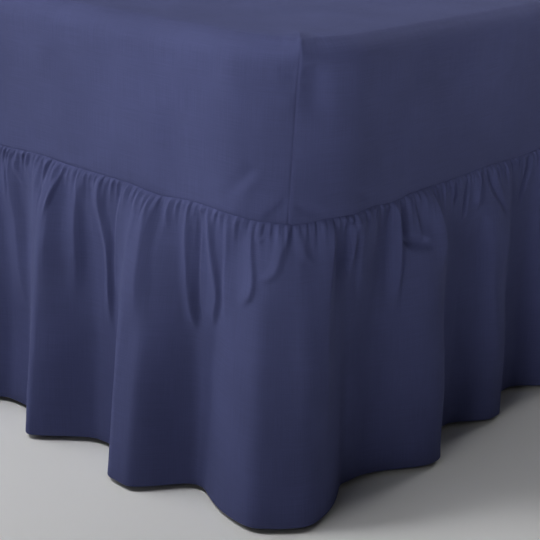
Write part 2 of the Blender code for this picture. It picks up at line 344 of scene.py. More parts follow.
creases = (
    crease(((-530, 2), (-522, 15), (-510, 29), (-500, 42), (-486, 55), (-472, 68)),
           7, (30, 34), (22, 26), 0.4, 0.3),
    crease(((-527, 1), (-506, 8), (-486, 14)), 3, (9, 7), (6, 6), 0.6, 0.5),
    crease(((-496, 1), (-484, 6), (-478, 10)), 3, (10, 8), (7, 7), 0.6, 0.5),
    crease(((-462, 1), (-458, 10), (-456, 20)), 4, (16, 20), (10, 12), 0.4, 0.6),
    crease(((-424, 1), (-416, 12), (-408, 29), (-402, 45)), 7.5, (40, 36), (17, 22), 0.5, 0.4),
    crease(((-404, 1), (-398, 7)), 2.4, (7, 6), (7, 6), 0.5, 0.6),
    crease(((-368, 1), (-371, 14), (-362, 34), (-358, 50)), 8, (30, 13), (16, 14), 0.5, 0.45),
    crease(((-328, 1), (-325, 9), (-315, 17), (-303, 26), (-298, 40), (-298, 56)),
           9, (20, 15), (14, 9), 0.6, 0.35),
    crease(((-346, 1), (-343, 6)), 2.2, (7, 6), (6, 5), 0.5, 0.6),
    crease(((-276, 2), (-284, 13), (-285, 30), (-284, 50)), 5.5, (9, 12), (30, 30), 0.5, 0.5),
    crease(((-226, 1), (-222, 7), (-216, 18), (-209, 32), (-205, 46)),
           8.5, (52, 40), (19, 24), 0.5, 0.4),
    crease(((-250, 1), (-246, 8)), 2.2, (8, 6), (7, 6), 0.5, 0.6),
    crease(((-197, 1), (-190, 6), (-183, 11)), 3.4, (11, 8), (7, 6), 0.6, 0.6),
    crease(((-149, 1), (-151, 7), (-149, 21), (-137, 35), (-125, 44)),
           7, (16, 13), (10, 10), 0.7, 0.15),
    crease(((-132, 3), (-133, 20), (-128, 34), (-116, 43)), -5, (8, 8), (9, 9), 0.5, 0.15),
    crease(((-118, 2), (-110, 11), (-98, 22), (-94, 30), (-101, 41)),
           6.8, (10, 26), (7, 8), 0.7, 0.2),
    crease(((-84, 2), (-84, 10), (-80, 25), (-72, 38)), 6, (9, 10), (16, 22), 0.7, 0.4),
    crease(((-53, 1), (-49, 10), (-44, 17), (-46, 23), (-60, 28)),
           5.2, (13, 14), (6, 6), 0.7, 0.25),
    crease(((-46, 2), (-44, 5), (-36, 4.5), (-32, 1)), 1.6, (4, 4), (4, 4), 0.5, 0.2),
    crease(((-6, 1), (-14, 8), (-20, 14), (-33, 17), (-42, 18.5)), 3.8, (12, 9), (8, 9), 0.6, 0.3),
    crease(((10, 1), (14, 8), (20, 11), (30, 13)), 2.6, (10, 9), (8, 9), 0.6, 0.4),
    crease(((51, 1), (52, 10), (44, 20), (38, 32), (36, 58), (36, 80)),
           11, (34, 50), (11, 20), 0.7, 0.3),
    crease(((83, 3), (79, 10), (77, 16), (78, 22)), -8, (26, 30), (6, 7), 0.2, 0.5),
    crease(((94, 3), (88, 10), (84, 16), (84, 20)), 5, (7, 7), (8, 8), 0.4, 0.4),
    crease(((101, 3), (103, 17), (110, 32)), 4.5, (10, 12), (40, 36), 0.1, 0.4),
    crease(((171, 2), (172, 11), (172, 22), (168, 36)), -7, (48, 44), (12, 13), 0.1, 0.45),
    crease(((184, 1), (183, 10), (181, 21), (178, 31), (176, 40)), 8, (15, 15), (8, 10), 0.2, 0.45),
    crease(((199, 1), (199, 8), (201, 14), (220, 17), (257, 18.6)),
           -9, (8, 12), (13, 10), 0.3, 0.3),
    crease(((262, 1), (272, 9), (278, 20), (268, 32)), 10, (27, 25), (10, 12), 0.25, 0.4),
    crease(((226, 2), (236, 9), (240, 15)), -2.5, (10, 12), (10, 12), 0.4, 0.5),
    crease(((339, 1), (330, 10)), -5.5, (9, 7), (10, 8), 0.5, 0.5),
    crease(((367, 1), (357, 17)), -6.5, (11, 8), (11, 9), 0.5, 0.4),
    crease(((399, 1), (393, 8), (392, 16)), 7, (16, 14), (10, 9), 0.6, 0.4),
    crease(((420, 1), (441, 10), (468, 20)), -7, (14, 10), (12, 10), 0.5, 0.4),
    crease(((484, 2), (484, 15), (468, 26), (450, 48)), 6.5, (28, 30), (12, 18), 0.6, 0.4),
    crease(((405, 24), (398, 50), (400, 76)), -7, (30, 34), (26, 30), 0.2, 0.3),
    crease(((550, 2), (535, 12), (521, 20)), -7.5, (12, 10), (14, 10), 0.5, 0.4),
    crease(((585, 1), (580, 20), (575, 43)), 6.5, (22, 26), (12, 16), 0.6, 0.4),
)

# The rest of the frill creases by a rule: one long crease beside each crest, its pleats, and
# short ones that end high up
creaseHabit = {
    "seed": 21,
    "from": 0.600,  # past the last fold with creases of its own
    "upTo": -0.560,
    "start": 0.01,  # share of the drop where each begins
    "shortPerFold": 4,
    "shortDown": (0.07, 0.22),
    "shortRise": (0.003, 0.0055),
    "shortWidth": (0.007, 0.014),
    "shortDrift": 0.02,
    "shortSigns": (1, 1, -1),
    "shortCrisp": (0.5, 0.9),
    "shortBefore": (1.0, 0.8),  # shares of its width, at its head and foot
    "shortAfter": (0.6, 0.5),
    "shortFade": 0.5,
    "longDown": (0.45, 0.85),
    "longRise": (0.007, 0.012),
    "longWidth": (0.020, 0.048),
    "longShift": (0.0, 0.025),
    "longBend": 0.012,
    "longFade": 0.35,
    "widens": (0.8, 1.3),
    "steepAtTop": (0.3, 0.5),  # width after the crest, as a share of that before it
    "steepAtFoot": (0.4, 0.7),
    "crisp": (0.6, 0.95),
    "pleatBend": 0.010,
    "pleatBefore": (1.0, 1.3),
    "pleatAfter": (0.6, 0.8),
    "pleatFade": 0.4,
    "pleatWidth": 1.2,
    "pleatRise": 0.75,
    "grown": 0.012,  # metres below the seam where a crease has most of its height
}


def scaled(width, shares):
    return tuple(width * share for share in shares)


def strayCreases():
    habit = creaseHabit
    chance = random.Random(habit["seed"])
    found = []
    for fold, after in zip(folds, folds[1:] + folds[:1]):
        span = (after["hem"] - fold["hem"]) % outlineLength
        if habit["upTo"] < fold["hem"] < habit["from"]:
            continue
        side = chance.choice((-1, 1))
        start = fold["seam"] + side * chance.uniform(*habit["longShift"])
        end = within(chance, habit["longDown"])
        middle = (start + fold["hem"]) / 2 + spread(chance, habit["longBend"])
        foot = between((start, fold["hem"]), end)
        width = within(chance, habit["longWidth"])
        found.append(mark(
            ((start, habit["start"]), (middle, end / 2), (foot, end)),
            within(chance, habit["longRise"]),
            (width, width * within(chance, habit["widens"])),
            tuple(width * within(chance, habit[name]) for name in ("steepAtTop", "steepAtFoot")),
            within(chance, habit["crisp"]), habit["longFade"]))
        for n in range(habit["shortPerFold"]):
            start = fold["hem"] + (n + chance.random()) / habit["shortPerFold"] * span
            width = within(chance, habit["shortWidth"])
            down = within(chance, habit["shortDown"])
            sign = chance.choice(habit["shortSigns"])
            foot = start + spread(chance, habit["shortDrift"])
            found.append(mark(
                ((start, habit["start"]), (foot, down)),
                sign * within(chance, habit["shortRise"]),
                scaled(width, habit["shortBefore"]), scaled(width, habit["shortAfter"]),
                within(chance, habit["shortCrisp"]), habit["shortFade"]))
    for pleat in pleats:
        start, end, down = pleat["start"], pleat["end"], pleat["down"]
        width = pleat["halfWidth"] * habit["pleatWidth"]
        middle = (start + end) / 2 + spread(chance, habit["pleatBend"])
        found.append(mark(
            ((start, habit["start"]), (middle, down / 2), (end, down)),
            pleat["rise"] * habit["pleatRise"],
            scaled(width, habit["pleatBefore"]), scaled(width, habit["pleatAfter"]),
            within(chance, habit["crisp"]), habit["pleatFade"]))
    return found


def smoothPath(points, steps=6):
    # a smooth curve through a few points
    ends = [points[0]] + list(points) + [points[-1]]
    curve = []
    for a, b, c, d in zip(ends, ends[1:], ends[2:], ends[3:]):
        a, b, c, d = (np.array(p, float) for p in (a, b, c, d))
        for t in np.arange(steps) / steps:
            bend = 2 * b + (c - a) * t + (2 * a - 5 * b + 4 * c - d) * t**2
            curve.append((bend + (3 * b - a - 3 * c + d) * t**3) / 2)
    return np.array(curve + [np.array(points[-1], float)])


leastFold = 0.0008  # the least radius to which the cloth folds


def addCrease(height, along, below, one, span, headFade=0.0):
    # adds one crease to a grid of heights; along and below are in metres
    path = smoothPath(one["path"]) * (1.0, span)
    most = max(one["before"] + one["after"])
    gap = apart(along, path[0, 0])
    across = path[:, 0] - path[0, 0]
    near = (gap > across.min() - most) & (gap < across.max() + most)
    near &= (below > path[:, 1].min() - most) & (below < path[:, 1].max() + most)
    if not near.any():
        return
    spot = np.stack([gap[near], below[near]], -1)
    line = np.stack([across, path[:, 1]], -1)
    steps = np.linalg.norm(np.diff(line, axis=0), axis=1)
    reached = np.concatenate([[0.0], np.cumsum(steps)])
    best = np.full(len(spot), np.inf)
    sided = np.zeros(len(spot))
    travelled = np.zeros(len(spot))
    for k, step in enumerate(steps):
        way = (line[k + 1] - line[k]) / step
        to = spot - line[k]
        ahead = np.clip(to @ way, 0.0, step)
        rest = to - ahead[:, None] * way
        far = np.hypot(rest[:, 0], rest[:, 1])
        closer = far < best
        best = np.where(closer, far, best)
        sided = np.where(closer, to[:, 0] * way[1] - to[:, 1] * way[0], sided)
        travelled = np.where(closer, reached[k] + ahead, travelled)
    share = travelled / reached[-1]
    width = np.where(sided > 0, between(one["after"], share), between(one["before"], share))
    reach = np.minimum((np.sqrt(best**2 + leastFold**2) - leastFold) / width, 1.0)
    profile = (1 - reach) ** 2 * (1 + 2 * (1 - one["crisp"]) * reach)
    faded = eased((1 - share) / one["fade"])
    if headFade:
        faded = faded * eased(share / headFade)
    height[near] += one["rise"] * profile * faded


# Gathers: small ridges and hollows side by side under the seam, in three sizes
gathers = (
    {"seed": 11, "pitch": 0.0052, "height": 0.0017, "length": 0.0065, "drift": 0.001},
    {"seed": 12, "pitch": 0.0115, "height": 0.0027, "length": 0.014, "drift": 0.003},
    {"seed": 13, "pitch": 0.0290, "height": 0.0016, "length": 0.040, "drift": 0.008},
)
gatherHabit = {
    "start": 0.003,  # metres below the seam where they have most of their height
    "driftReach": 0.03,
    "dying": 1.7,  # how suddenly they end
    "round": 0.4,
    "shift": (-0.32, 0.32),
    "uneven": (0.35, 1.25),
    "unevenLength": (0.5, 1.9),
}


def gatherKnots(size):
    chance = random.Random(size["seed"])
    count = 2 * round(outlineLength / size["pitch"])
    rows = []
    for k in range(count):
        rows.append((
            (k + chance.uniform(*gatherHabit["shift"])) * outlineLength / count,
            (1 if k % 2 else -1) * size["height"] * chance.uniform(*gatherHabit["uneven"]),
            size["length"] * chance.uniform(*gatherHabit["unevenLength"]),
            size["drift"] * chance.uniform(-1, 1),
        ))
    return np.array(rows).T


gatherSets = [gatherKnots(size) for size in gathers]


def gatherOut(along, below):
    # along is one row of the cloth, below its depth under the seam
    out = np.zeros_like(along)
    for places, heights, lengths, drifts in gatherSets:
        moved = np.sort(places + drifts * (1 - math.exp(-below / gatherHabit["driftReach"])))
        sizes = heights * np.exp(-((below / lengths) ** gatherHabit["dying"]))
        here = (along - moved[0]) % outlineLength
        spots = np.append(moved - moved[0], outlineLength)
        sizes = np.append(sizes, sizes[0])
        before = np.clip(np.searchsorted(spots, here, side="right") - 1, 0, len(spots) - 2)
        share = (here - spots[before]) / (spots[before + 1] - spots[before])
        slope = between((share, eased(share)), gatherHabit["round"])
        out += sizes[before] + (sizes[before + 1] - sizes[before]) * slope
    return out * (1 - math.exp(-below / gatherHabit["start"]))


# Slack: slow, faint ripples that keep flat stretches of cloth from looking pressed
slack = {"seed": 5, "waves": 14, "length": (0.035, 0.16), "height": 0.00045}


def slackOut(along, below):
    chance = random.Random(slack["seed"])
    out = np.zeros_like(along)
    for _ in range(slack["waves"]):
        length = between(slack["length"], chance.random() ** 2)
        turn = chance.uniform(0, math.pi)
        # a whole number of waves goes round the bed
        sideways = 2 * math.pi * round(outlineLength * math.cos(turn) / length) / outlineLength
        out += np.sin(along * sideways + below * 2 * math.pi * math.sin(turn) / length
                      + chance.uniform(0, 2 * math.pi)) * length / slack["length"][1]
    return out * slack["height"]


# Cloth

def layCloth(name, points, flatAt, shut=False):
    # a grid of cloth: points[row, column] and its place on the flat cloth, kept as the UV map
    rows, columns = points.shape[0] - 1, points.shape[1] - 1
    form = bmesh.new()
    bmesh.ops.create_grid(form, x_segments=columns, y_segments=rows, size=1.0)
    mesh = bpy.data.meshes.new(name)
    form.to_mesh(mesh)
    form.free()
    start = np.empty(len(mesh.vertices) * 3)
    mesh.vertices.foreach_get("co", start)
    start = start.reshape(-1, 3)
    column = np.rint((start[:, 0] + 1) / 2 * columns).astype(int)
    row = np.rint((1 - start[:, 1]) / 2 * rows).astype(int)
    mesh.vertices.foreach_set("co", points[row, column].ravel())
    ends = np.empty(len(mesh.loops), int)
    mesh.loops.foreach_get("vertex_index", ends)
    middle = np.repeat(column[ends].reshape(-1, 4).mean(1), 4)
    flat = flatAt(row[ends], column[ends], middle)
    mesh.uv_layers.new(name="cloth").uv.foreach_set("vector", flat.ravel())
    if shut:
        form = bmesh.new()
        form.from_mesh(mesh)
        bmesh.ops.remove_doubles(form, verts=form.verts, dist=1e-5)
        form.to_mesh(mesh)
        form.free()
    mesh.shade_smooth()
    mesh.update()
    piece = bpy.data.objects.new(name, mesh)
    bpy.context.scene.collection.objects.link(piece)
    return piece


weave = {
    "frillDye": (0.062, 0.071, 0.172),
    "sheetDye": (0.064, 0.073, 0.176),
    "roughness": 0.85,
    "sheen": 0.05,
    "sheenRoughness": 0.45,
    "sheenTint": (0.35, 0.40, 0.85, 1.0),
    "gloss": 0.16,
    "thread": 0.00045,  # metres from one thread to the next
    "bump": 0.00005,
    "slubLength": 0.03,
    "slubScale": 0.5,
    "slubRange": (0.6, 1.4),
    "slubBump": 0.8,
    "streak": 0.12,
    "patchScale": 7.0,
    "patchRange": (0.3, 0.7),
    "mottle": 0.08,
}


def node(tree, kind, **values):
    made = tree.nodes.new(kind)
    for name, value in values.items():
        if name in made.bl_rna.properties:
            setattr(made, name, value)
        else:
            made.inputs[name].default_value = value
    return made


def sums(tree, operation, *feeds):
    # a Math node fed in order by sockets or by fixed numbers
    made = node(tree, "ShaderNodeMath", operation=operation)
    for spot, feed in zip(made.inputs, feeds):
        if isinstance(feed, float):
            spot.default_value = feed
        else:
            tree.links.new(feed, spot)
    return made.outputs[0]


def noise(tree, place, scale, detail, roughness=0.5):
    made = node(tree, "ShaderNodeTexNoise", Scale=scale, Detail=detail, Roughness=roughness)
    tree.links.new(place, made.inputs["Vector"])
    return made.outputs[0]


def spanned(tree, feed, start, end):
    # takes the first range to the second
    made = node(tree, "ShaderNodeMapRange")
    for name, value in zip(("From Min", "From Max", "To Min", "To Max"), start + end):
        made.inputs[name].default_value = value
    tree.links.new(feed, made.inputs["Value"])
    return made.outputs[0]


def finish(tree, colour, tone, height, strength, depth):
    # the colour, lighter or darker by the tone, and a relief
    shader = tree.nodes["Principled BSDF"]
    dyed = node(tree, "ShaderNodeVectorMath", operation="SCALE")
    dyed.inputs[0].default_value = colour
    tree.links.new(tone, dyed.inputs["Scale"])
    tree.links.new(dyed.outputs[0], shader.inputs["Base Color"])
    relief = node(tree, "ShaderNodeBump", Strength=strength, Distance=depth)
    tree.links.new(height, relief.inputs["Height"])
    tree.links.new(relief.outputs["Normal"], shader.inputs["Normal"])


def newMaterial(name, roughness):
    material = bpy.data.materials.new(name)
    material.use_nodes = True
    shader = material.node_tree.nodes["Principled BSDF"]
    shader.inputs["Roughness"].default_value = roughness
    return material, material.node_tree, shader


def clothMaterial(name, colour):
    material, tree, shader = newMaterial(name, weave["roughness"])
    shader.inputs["Sheen Weight"].default_value = weave["sheen"]
    shader.inputs["Sheen Roughness"].default_value = weave["sheenRoughness"]
    shader.inputs["Sheen Tint"].default_value = weave["sheenTint"]
    shader.inputs["Specular IOR Level"].default_value = weave["gloss"]
    link = tree.links.new
    flat = node(tree, "ShaderNodeUVMap", uv_map="cloth").outputs["UV"]
    axes = node(tree, "ShaderNodeSeparateXYZ")
    link(flat, axes.inputs[0])

    # two sets of threads, one over the other by turns
    threads = [sums(tree, "SINE", sums(tree, "MULTIPLY", axes.outputs[axis],
                                       math.pi / weave["thread"]))
               for axis in ("X", "Y")]
    crossing = sums(tree, "MULTIPLY", *threads)

    # threads that are a little thicker or darker for a short way
    fine, coarse = 1 / weave["thread"], 1 / weave["slubLength"]
    streaks = []
    for scale in ((fine, coarse, 1.0), (coarse, fine, 1.0)):
        stretch = node(tree, "ShaderNodeMapping", Scale=scale)
        link(flat, stretch.inputs["Vector"])
        streaks.append(noise(tree, stretch.outputs["Vector"], weave["slubScale"], 1.0))
    slubs = sums(tree, "ADD", *streaks)

    # slow patches, as dyed cloth has after washing
    patches = noise(tree, flat, weave["patchScale"], 4.0, 0.6)
    streak, mottle = weave["streak"], weave["mottle"]
    tone = sums(tree, "MULTIPLY",
                spanned(tree, slubs, weave["slubRange"], (1 - streak, 1 + streak)),
                spanned(tree, patches, weave["patchRange"], (1 - mottle, 1 + mottle)))
    height = sums(tree, "MULTIPLY_ADD", slubs, weave["slubBump"], crossing)
    finish(tree, colour, tone, height, 1.0, weave["bump"])
    return material


frillCloth = clothMaterial("frill_cloth", weave["frillDye"])
sheetCloth = clothMaterial("sheet_cloth", weave["sheetDye"])


frillMesh = {
    "columns": 960,
    "firstRow": 0.0010,  # metres between rows at the seam, growing by the next value
    "rowGrowth": 1.034,
    "hemRows": 5,
    "turnedRows": (0.33, 0.66, 1.0),  # of the hem's inner side, as shares of its turning
    "flatDrop": 0.430,  # the cut length, with the hem's turning and the seam's allowance
}


def frillRows():
    # shares of the drop, close together under the seam
    reached, step, rows = 0.0, frillMesh["firstRow"], []
    while reached < fullDrop - step / 2:
        rows.append(reached / fullDrop)
        reached += step
        step *= frillMesh["rowGrowth"]
    return np.array(rows + [1.0])


frillCreases = list(creases) + strayCreases()


def frillSurface(atHem, downs):
    # the frill's points out of the wall, row by row, and the place of each on the outline
    shift = lean(atHem)
    alongs = atHem[None, :] - shift[None, :] * (1 - downs[:, None])
    top = seamHeight(alongs)
    drop = top - frill["hem"] - frill["hemRound"]
    below = drop * downs[:, None]
    _, ways = outline(alongs)
    out = np.zeros_like(alongs)
    for k, down in enumerate(downs):
        out[k] = foldOut(alongs[k], down, ways[k])
        out[k] += gatherOut(alongs[k], float(below[k].mean()))
    raised = np.zeros_like(out)
    for one in frillCreases:
        addCrease(raised, alongs, below, one, fullDrop)
    grown = 1 - np.exp(-below / creaseHabit["grown"])
    out += raised * grown + slackOut(alongs, below) * eased(below / frill["slackStart"])
    out += frill["lip"] * (1 - np.exp(-below / frill["lipReach"]))
    out -= frill["tuck"] * np.exp(-below / (frill["lipReach"] / 2))
    for join in frill["joins"]:
        away = np.abs(apart(atHem, join))[None, :]
        out -= frill["joinDent"] * np.exp(-away / frill["joinWidth"]) * grown
    height = top - below + frill["tuckUp"] * np.exp(-below / frill["tuckUpReach"])
    return alongs, out, height


def runLength(points):
    # distance reached at each of a row of points
    steps = np.linalg.norm(np.diff(points, axis=0), axis=-1)
    return np.concatenate([np.zeros((1,) + steps.shape[1:]), np.cumsum(steps, axis=0)])


def frillPanel(number, start, end):
    atHem = np.linspace(start, end, frillMesh["columns"] + 1)
    downs = frillRows()
    alongs, out, height = frillSurface(atHem, downs)
    point, way = outline(alongs)
    cloth = np.concatenate([point + way * out[..., None], height[..., None]], -1)

    # the hem turns under and up again inside
    radius = frill["hemRound"]
    turned = []
    for angle in np.linspace(0, math.pi, frillMesh["hemRows"] + 1)[1:]:
        under = np.full((len(atHem), 1), radius * math.sin(angle))
        inward = way[-1] * radius * (1 - math.cos(angle))
        turned.append(cloth[-1] - np.concatenate([inward, under], 1))
    for up in np.array(frillMesh["turnedRows"]) * frill["hemTurn"]:
        down = 1 - up / fullDrop
        k = np.searchsorted(downs, down) - 1
        row = between((cloth[k], cloth[k + 1]), (down - downs[k]) / (downs[k + 1] - downs[k]))
        row[:, :2] -= way[-1] * 2 * radius
        turned.append(row)
    points = np.concatenate([cloth, turned], 0)

    # the cloth's width is measured two thirds of the rows down
    mid = len(downs) * 2 // 3
    across = start + runLength(cloth[mid])
    deep = -runLength(points).mean(1)

    def flatAt(row, column, middle):
        return np.stack([across[column], deep[row]], -1)

    piece = layCloth("frill_width_%d" % number, points, flatAt)
    piece.data.materials.append(frillCloth)
    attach(piece, "root")
    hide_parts("frill")


joins = frill["joins"]
for number, start in enumerate(joins):
    end = joins[number + 1] if number + 1 < len(joins) else joins[0] + outlineLength
    frillPanel(number + 1, start, end)
print("frill made")


# Fitted sheet: girth is the distance over the edge and down the wall, from where the deck ends

sheet = {
    "edge": 0.035,  # radius of the rim
    "earRise": 0.004,
    "earReach": 0.034,
    "earInset": (0.075, 0.035),  # from the deck's edge, where the ear starts and is full
    "earDepth": (0.035, 0.015),
    "pinch": 0.0075,  # how far the corner seam stands out at the rim, as a sharp ridge
    "pinchReach": 0.030,
    "pinchDepth": 0.010,
    "pinchHeight": 0.034,
    "sharpness": 1.7,
    "cornerOutReach": 0.070,
    "rollIn": 0.0012,  # how far the wall's foot turns in at the seam
    "rollReach": 0.0015,
    "slack": 0.8,
    "slackReach": (0.05, 0.02),  # from the deck and from the seam
    "deckSlack": 1.2,
    "deckSlackStart": 0.25,  # share of the way in over which it begins
    "deckSlackPlace": (1.3, 40.0),  # it is another stretch of the slack than the walls'
    "deckRings": 15,
    "creaseHead": 0.3,  # share of a crease over which it rises
    "mostSag": 0.001,  # of the deck, so it stays clear of the mattress
    "sagReach": 0.004,
    "seamDent": 0.0013,  # the sewn groove down each corner
    "seamWidth": 0.0015,
    "seamLean": 0.006,  # how far each seam's foot stands back along the bed
}

# How far the corner's seam stands out: (depth below the deck, out)
cornerShape = (
    (-0.075, 0.0), (-0.035, 0.002), (0.01, 0.004), (0.03, 0.005), (0.06, 0.001), (0.1, 0.001),
    (0.14, 0.002), (0.18, 0.002), (0.235, 0.0),
)

# Those near the same corner, with depths below the deck
sheetCreases = (
    sheetCrease(((20, 22), (23, 50), (22, 80), (18, 115)), -8.5, (30, 38), (26, 34), 0.1, 0.45),
    sheetCrease(((-6, 26), (-8, 50), (-6, 85)), -3, (20, 16), (10, 10), 0.3, 0.6),
    sheetCrease(((30, 36), (14, 40), (1, 43)), -2, (12, 10), (8, 6), 0.4, 0.3),
    sheetCrease(((-30, 40), (-14, 43), (-1, 46)), -1.8, (8, 6), (12, 10), 0.4, 0.3),
    sheetCrease(((2, 62), (16, 60), (34, 54)), -1.2, (7, 7), (9, 8), 0.4, 0.5),
    sheetCrease(((-2, 68), (-18, 66), (-36, 60)), -1.2, (8, 8), (7, 7), 0.4, 0.5),
    sheetCrease(((-45, 160), (-62, 174), (-84, 199), (-98, 214)),
                -1.6, (12, 14), (12, 14), 0.3, 0.4),
    sheetCrease(((-36, 168), (-53, 184), (-75, 209)), 1, (10, 10), (10, 10), 0.3, 0.4),
    sheetCrease(((-4, 196), (-20, 215), (-44, 236)), -4.5, (6, 8), (16, 16), 0.4, 0.4),
    sheetCrease(((-3, 204), (12.5, 214), (33.4, 224), (52.6, 231)), -4, (14, 12), (8, 8), 0.5, 0.4),
    sheetCrease(((72, 198), (110, 212), (150, 228)), -1.4, (14, 14), (12, 12), 0.2, 0.5),
    sheetCrease(((-222, 177), (-223, 53)), 0.5, (5, 5), (5, 5), 0.8, 0.3),
    sheetCrease(((-500, 190), (-460, 215), (-410, 200)), -1.6, (30, 30), (20, 20), 0.0, 0.5),
)
sheetHabit = {
    "seed": 31,
    "perCorner": 6,
    "from": 0.035,  # depths below the deck
    "span": 0.19,
    "lowest": 0.232,
    "clear": 0.008,  # of the seam itself
    "bend": 0.004,
    "signs": (-1, -1, 1),
    "rise": (0.0014, 0.0026),
    "length": (0.03, 0.11),
    "fall": (0.2, 0.6),
    "width": (0.008, 0.016),
    "crisp": (0.2, 0.6),
    "fade": 0.5,
}


def strayCornerCreases():
    # drag lines that fan out of the foot of the other corners' seams
    habit = sheetHabit
    chance = random.Random(habit["seed"])
    found = []
    for place in cornerPlaces[1:]:
        for k in range(habit["perCorner"]):
            side = -1 if k % 2 else 1
            share = (k + chance.random()) / habit["perCorner"]
            start = habit["from"] + habit["span"] * share
            reach = within(chance, habit["length"])
            fall = reach * within(chance, habit["fall"])
            width = within(chance, habit["width"])
            low = min(start + fall, habit["lowest"])
            aside = [place + side * (habit["clear"] + reach * part) for part in (0.0, 0.5, 1.0)]
            downs = (start, (start + low) / 2 - habit["bend"], low)
            found.append(mark(
                tuple(zip(aside, downs)),
                chance.choice(habit["signs"]) * within(chance, habit["rise"]),
                (width, width), (width, width), within(chance, habit["crisp"]), habit["fade"]))
    return found


def smoothTable(table, asked):
    # a smooth curve through a short table of (place, value)
    places, values = np.array(table).T
    slopes = np.gradient(values, places)
    k = np.clip(np.searchsorted(places, asked, side="right") - 1, 0, len(places) - 2)
    span = places[k + 1] - places[k]
    t = np.clip((asked - places[k]) / span, 0.0, 1.0)
    a = values[k] * (1 + 2 * t) * (1 - t) ** 2 + values[k + 1] * t * t * (3 - 2 * t)
    return a + span * (slopes[k] * t * (1 - t) ** 2 - slopes[k + 1] * t * t * (1 - t))


sheetMesh = {
    "cornerReach": 0.25,
    "cornerStep": 0.0028,
    "cornerCrowding": 0.4,  # the step at the corner's seam, as a share of the even one
    "straightStep": 0.022,
    "deckEdge": (0.075, 0.062, 0.052, 0.044),  # insets of the deck's last rows
    "rimRows": 12,
    "wallStep": 0.0042,
    "footRows": (0.0025, 0.0012, 0.0005),  # heights of extra rows over the seam
    "foldOut": (-0.04, 0.03),  # girths between which the flat cloth turns from deck to wall
}


def sheetColumns():
    places = []
    reach, crowding = sheetMesh["cornerReach"], sheetMesh["cornerCrowding"]
    count = 2 * round(reach / sheetMesh["cornerStep"])
    for k, corner in enumerate(cornerPlaces):
        shares = [2 * n / count - 1 for n in range(count)]
        places += [corner + reach * share * between((crowding, 1.0), share**2) for share in shares]
        straight = straights[k] + cornerArc - 2 * reach
        steps = round(straight / sheetMesh["straightStep"])
        places += [corner + reach + straight * n / steps for n in range(steps)]
    return np.array(places + [places[0] + outlineLength])


def sheetRows():
    # (inset, depth) down the wall from the deck's edge
    edge = sheet["edge"]
    rows = [(inset, 0.0) for inset in sheetMesh["deckEdge"]]
    for k in range(sheetMesh["rimRows"] + 1):
        angle = math.pi / 2 * k / sheetMesh["rimRows"]
        rows.append((edge * (1 - math.sin(angle)), edge * (1 - math.cos(angle))))
    wall = wallDepth - edge
    steps = round(wall / sheetMesh["wallStep"])
    rows += [(0.0, edge + wall * k / steps) for k in range(1, steps + 1)]
    rows += [(0.0, edge + wall - shy) for shy in sheetMesh["footRows"]]
    return np.array(sorted(rows, key=lambda row: (row[1], -row[0])))


def cornerPoint(places, reach):
    # a sharp peak at each corner seam
    return np.maximum(1 - fromCorner(places) / reach, 0.0) ** sheet["sharpness"]


def sheetOut(along, inset, depth):
    # how far the sheet stands out of the bed's outline, where its deck and walls lie
    asked = np.broadcast_to(np.where(depth > 0, depth, sheet["edge"] - inset), along.shape)
    out = smoothTable(cornerShape, asked) * hump(fromCorner(along), sheet["cornerOutReach"])
    pinched = hump(depth - sheet["pinchDepth"], sheet["pinchHeight"])
    out = out + sheet["pinch"] * cornerPoint(along, sheet["pinchReach"]) * pinched
    relief = np.zeros_like(along)
    below = np.broadcast_to(depth, along.shape)
    for one in list(sheetCreases) + strayCornerCreases():
        addCrease(relief, along, below, one, 1.0, headFade=sheet["creaseHead"])
    leaning = along + sheet["seamLean"] * np.clip(depth / wallDepth, 0.0, 1.0)
    groove = sheet["seamDent"] * np.exp(-((fromCorner(leaning) / sheet["seamWidth"]) ** 2))
    out = out + relief - groove * eased(depth / sheet["edge"])
    fromDeck, fromSeam = sheet["slackReach"]
    loose = eased(depth / fromDeck) * eased((wallDepth - depth) / fromSeam)
    out = out + slackOut(along, depth) * sheet["slack"] * loose
    left = np.maximum(wallDepth - depth, 0.0)
    return out - sheet["rollIn"] * np.exp(-left / sheet["rollReach"])


def sheetDeck(rim):
    # the deck closes over the middle of the bed, ring by ring
    spineEnd = halfY - halfX
    spine = rim.copy()
    spine[:, 0] = 0.0
    spine[:, 1] = np.clip(rim[:, 1], -spineEnd, spineEnd)
    spine[:, 2] = deckHeight
    shares = np.linspace(1, 0, sheet["deckRings"] + 1)[:-1]
    deck = np.array([rim + (spine - rim) * share for share in shares])
    loose = eased(shares / sheet["deckSlackStart"]) * eased(1 - shares)
    stretch, start = sheet["deckSlackPlace"]
    ripples = slackOut(deck[..., 0] * stretch + start, deck[..., 1])
    deck[..., 2] += ripples * sheet["deckSlack"] * loose[:, None]
    return deck


